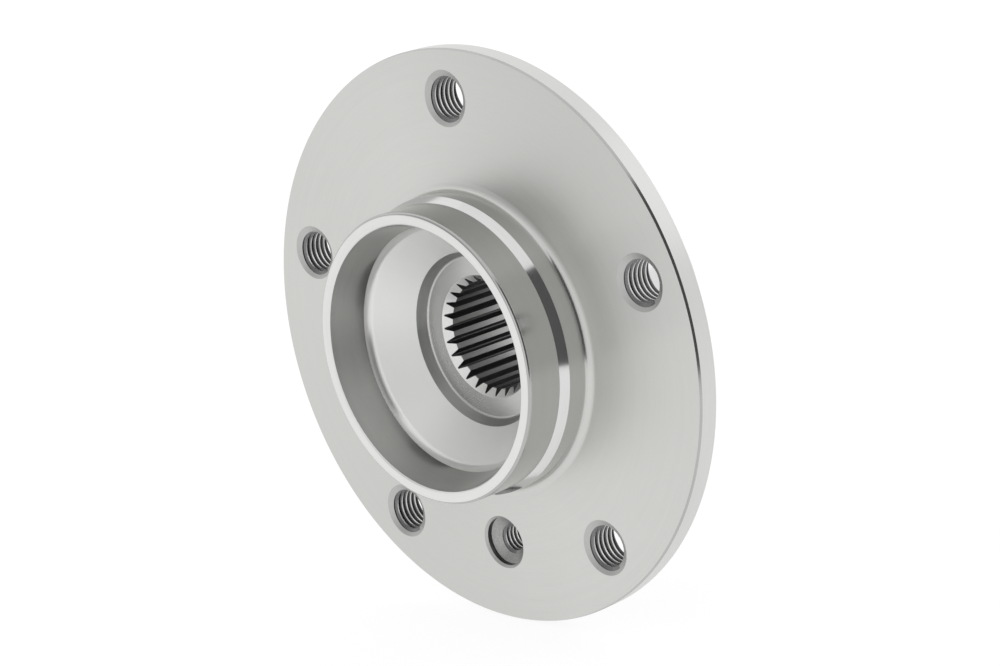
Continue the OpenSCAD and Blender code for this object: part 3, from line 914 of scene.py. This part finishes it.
def make_world():
    """White for the camera, the screen and the room in reflections, and a plain tone that lights the rest."""
    world = bpy.data.worlds.new("studio")
    bpy.context.scene.world = world
    world.use_nodes = True
    tree = world.node_tree
    tree.nodes.clear()
    place = tree.nodes.new("ShaderNodeTexCoord")

    def along(direction):
        """How far the look lies along a direction."""
        toward = node(tree, "ShaderNodeVectorMath", operation="DOT_PRODUCT", inputs={1: direction})
        tree.links.new(place.outputs["Generated"], toward.inputs[0])
        return toward.outputs["Value"]

    def span(value, low, high):
        """One between low and high, and zero outside them."""
        up = ramp(tree, value, low - SCREEN_EDGE, low + SCREEN_EDGE, 0, 1)
        return maths(tree, "MULTIPLY", up, ramp(tree, value, high - SCREEN_EDGE, high + SCREEN_EDGE, 1, 0))

    ahead = along((math.sin(SCREEN_AZIMUTH), -math.cos(SCREEN_AZIMUTH), 0))
    across = along((math.cos(SCREEN_AZIMUTH), math.sin(SCREEN_AZIMUTH), 0))
    screen = maths(tree, "MULTIPLY", span(across, -SCREEN_HALF_WIDTH, SCREEN_HALF_WIDTH),
                   maths(tree, "MULTIPLY", span(along((0, 0, 1)), SCREEN_FOOT, SCREEN_TOP),
                         ramp(tree, ahead, 0, SCREEN_EDGE, 0, 1)))
    toward_room = along((math.sin(ROOM_AZIMUTH) * math.cos(ROOM_ELEVATION),
                         -math.cos(ROOM_AZIMUTH) * math.cos(ROOM_ELEVATION), math.sin(ROOM_ELEVATION)))
    room = ramp(tree, toward_room, ROOM_REACH, 1, 1, ROOM_TONE)
    seen = node(tree, "ShaderNodeMix", data_type="RGBA", inputs={MIX_SECOND: (*grey(SCREEN_TONE), 1)})
    tree.links.new(screen, seen.inputs[0])
    tree.links.new(room, seen.inputs[MIX_FIRST])
    path = tree.nodes.new("ShaderNodeLightPath")
    shiny = maths(tree, "MAXIMUM", path.outputs["Is Glossy Ray"], path.outputs["Is Transmission Ray"])
    backdrop = node(tree, "ShaderNodeMix", data_type="RGBA", inputs={MIX_FIRST: (*grey(WORLD_LEVEL), 1)})
    tree.links.new(shiny, backdrop.inputs[0])
    tree.links.new(seen.outputs[MIX_RESULT], backdrop.inputs[MIX_SECOND])
    shown = node(tree, "ShaderNodeMix", data_type="RGBA", inputs={MIX_SECOND: (1, 1, 1, 1)})
    tree.links.new(path.outputs["Is Camera Ray"], shown.inputs[0])
    tree.links.new(backdrop.outputs[MIX_RESULT], shown.inputs[MIX_FIRST])
    light = tree.nodes.new("ShaderNodeBackground")
    tree.links.new(shown.outputs[MIX_RESULT], light.inputs["Color"])
    tree.links.new(light.outputs[0], tree.nodes.new("ShaderNodeOutputWorld").inputs["Surface"])


make_world()

# The floor ends a little in front of the hub, where the camera doesn't see it; most of what is seen of it is
# its glow, and the rest is a matt surface that takes the hub's shadow
FLOOR_SIZE = 5.0
FLOOR_FRONT = 0.2
FLOOR_GLOW = 1.08
FLOOR_TONE = 0.9
FLOOR_GLOW_SHARE = 0.8


def make_floor():
    """A pale floor under the hub, turned towards the camera."""
    reach = FLOOR_SIZE / 2 - FLOOR_FRONT
    floor = new_piece("floor", bpy.ops.mesh.primitive_plane_add, size=FLOOR_SIZE,
                      location=(-reach * math.sin(AZIMUTH), reach * math.cos(AZIMUTH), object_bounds()[0].z),
                      rotation=(0, 0, AZIMUTH))
    look = bpy.data.materials.new("pale_floor")
    look.use_nodes = True
    tree = look.node_tree
    tree.nodes.clear()
    glow = node(tree, "ShaderNodeEmission", inputs={"Color": (1, 1, 1, 1), "Strength": FLOOR_GLOW})
    matt = node(tree, "ShaderNodeBsdfDiffuse", inputs={"Color": (*grey(FLOOR_TONE), 1)})
    path = node(tree, "ShaderNodeLightPath")
    seen = maths(tree, "MAXIMUM", path.outputs["Is Camera Ray"],
                 maths(tree, "MAXIMUM", path.outputs["Is Glossy Ray"], path.outputs["Is Transmission Ray"]))
    blend = node(tree, "ShaderNodeMixShader")
    tree.links.new(maths(tree, "MULTIPLY", seen, FLOOR_GLOW_SHARE), blend.inputs[0])
    tree.links.new(matt.outputs[0], blend.inputs[1])
    tree.links.new(glow.outputs[0], blend.inputs[2])
    tree.links.new(blend.outputs[0], node(tree, "ShaderNodeOutputMaterial").inputs["Surface"])
    floor.data.materials.append(look)


make_floor()


def softbox(name, place, size, brightness):
    """A square softbox that faces the hub; its brightness is the radiance of its sheet."""
    light = bpy.data.lights.new(name, "AREA")
    light.size = size
    light.energy = math.pi * size ** 2 * brightness
    stand = bpy.data.objects.new(name, light)
    bpy.context.scene.collection.objects.link(stand)
    stand.location = place
    stand.rotation_euler = (-Vector(place)).to_track_quat("-Z", "Y").to_euler()


softbox("key", place=(-1.3, 0.1, 1.3), size=1.2, brightness=0.08)
softbox("back", place=(0.9, 0.9, 1.0), size=1.2, brightness=0.25)

bpy.context.scene.view_settings.view_transform = "Standard"
